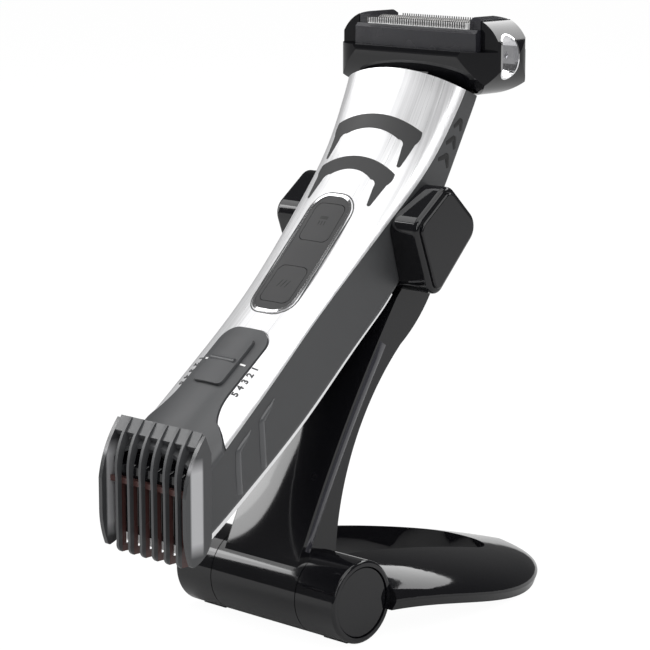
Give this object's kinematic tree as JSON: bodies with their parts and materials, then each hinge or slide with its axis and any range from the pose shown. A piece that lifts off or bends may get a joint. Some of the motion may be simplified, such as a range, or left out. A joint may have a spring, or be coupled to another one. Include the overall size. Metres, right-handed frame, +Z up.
{
  "type": "body groomer on charging stand",
  "caption": "Curved two-ended body groomer with a foil shaver head, a trimmer with a length comb, and a folding ring-shaped charging stand.",
  "frame": {"origin": "centre of the box on the table, under the stand", "axes": "+Z up, +Y to the back of the stand, +X across, along the stand's hinge"},
  "size_m": [0.078, 0.152, 0.172],
  "materials": {
    "gloss_black": "polished black moulded plastic",
    "dark_shell": "dark grey moulded plastic, semi gloss",
    "soft_dark": "matt dark grey soft-touch plastic",
    "silver_shell": "silver with a fine lengthwise grain",
    "bright_trim": "bright plated trim",
    "mid_grey": "mid grey moulded plastic",
    "smoke": "smoked reddish brown plastic",
    "blade_steel": "ground stainless steel",
    "foil_steel": "thin perforated foil",
    "rubber": "matt rubber",
    "screw_steel": "zinc plated steel",
    "brass": "plated brass",
    "motor_can": "motor can",
    "cell": "wrapped cell",
    "board": "glass fibre board",
    "inner_plastic": "natural moulded plastic"
  },
  "bodies": {
    "base": {"base_loop": "gloss_black", "base_cover": "gloss_black", "base_screws": "screw_steel", "rubber_feet": "rubber", "power_inlet": "gloss_black", "hinge_pin": "screw_steel", "hinge_cap_left": "gloss_black", "hinge_cap_right": "gloss_black"},
    "upright": {"upright_arm": "gloss_black", "upright_back_cover": "gloss_black", "ear_covers": "gloss_black", "stand_contacts": "brass"},
    "handle": {"front_shell": "silver_shell", "rear_shell": "dark_shell", "rear_trim": "bright_trim", "grip_inlay_upper": "soft_dark", "grip_inlay_lower": "soft_dark", "button_bezel": "bright_trim", "button_panel": "soft_dark", "chassis": "inner_plastic", "battery": "cell", "battery_contacts": "screw_steel", "circuit_board": "board", "tact_switches": "inner_plastic", "charge_contacts": "brass", "case_screws": "screw_steel", "shaver_motor": "motor_can", "trimmer_motor": "motor_can", "end_plate": "dark_shell", "neck_collar": "dark_shell", "neck_seal": "rubber", "trimmer_frame": "gloss_black", "fixed_blade": "blade_steel", "blade_spring": "screw_steel"},
    "shaver_button_cap": {"shaver_button": "soft_dark"},
    "trimmer_button_cap": {"trimmer_button": "soft_dark"},
    "shaver_drive": {"shaver_eccentric": "inner_plastic"},
    "trimmer_drive": {"trimmer_eccentric": "inner_plastic"},
    "trimmer_blade": {"moving_blade": "blade_steel", "blade_carrier": "inner_plastic"},
    "comb": {"comb_guard": "dark_shell", "comb_insert": "smoke", "comb_cheeks": "mid_grey"},
    "length_lock": {"length_slide": "dark_shell"},
    "shaver_head": {"head_housing": "gloss_black", "hoop_liners": "bright_trim", "head_neck": "gloss_black", "tilt_springs": "screw_steel"},
    "foil_block": {"pivot_pins": "screw_steel", "foil_frame": "gloss_black", "shaving_foil": "foil_steel", "pre_trimmer_front": "blade_steel", "pre_trimmer_rear": "blade_steel"},
    "cutter": {"foil_cutter": "blade_steel", "cutter_carrier": "inner_plastic"}
  },
  "joints": [
    {"name": "stand_fold", "type": "hinge", "parent": "base", "child": "upright", "pos_m": [0, -0.022, 0.012], "axis": [-1, 0, 0], "range_deg": [0, 55]},
    {"name": "groomer_lift", "type": "slide", "parent": "upright", "child": "handle", "axis": [0, -0.6924, 0.7215], "range_m": [0, 0.06]},
    {"name": "head_pull_off", "type": "slide", "parent": "handle", "child": "shaver_head", "axis": [0, 0.5495, 0.8355], "range_m": [0, 0.03]},
    {"name": "block_tilt", "type": "hinge", "parent": "shaver_head", "child": "foil_block", "pos_m": [0, 0.0425, 0.161], "axis": [1, 0, 0], "range_deg": [-6, 6], "stiffness_Nm_per_rad": 0.05},
    {"name": "cutter_stroke", "type": "slide", "parent": "foil_block", "child": "cutter", "axis": [1, 0, 0], "range_m": [-0.0005, 0.0005]},
    {"name": "shaver_drive_spin", "type": "hinge", "parent": "handle", "child": "shaver_drive", "pos_m": [0, 0.02531, 0.13564], "axis": [0, 0.5495, 0.8355], "continuous": true},
    {"name": "trimmer_drive_spin", "type": "hinge", "parent": "handle", "child": "trimmer_drive", "pos_m": [0, -0.0604, 0.0506], "axis": [0, -1, 0], "continuous": true},
    {"name": "blade_stroke", "type": "slide", "parent": "handle", "child": "trimmer_blade", "axis": [1, 0, 0], "range_m": [-0.0005, 0.0005]},
    {"name": "shaver_button_press", "type": "slide", "parent": "handle", "child": "shaver_button_cap", "axis": [0, 0.6725, -0.7401], "range_m": [0, 0.0004], "stiffness_N_per_m": 800, "springref_m": -0.0003},
    {"name": "trimmer_button_press", "type": "slide", "parent": "handle", "child": "trimmer_button_cap", "axis": [0, 0.6725, -0.7401], "range_m": [0, 0.0004], "stiffness_N_per_m": 800, "springref_m": -0.0003},
    {"name": "comb_slide", "type": "slide", "parent": "handle", "child": "comb", "axis": [0, -0.7743, -0.6328], "range_m": [0, 0.008]},
    {"name": "length_slide_press", "type": "slide", "parent": "comb", "child": "length_lock", "axis": [0, 0.6401, -0.7683], "range_m": [0, 0.0004], "stiffness_N_per_m": 800, "springref_m": -0.0003}
  ]
}
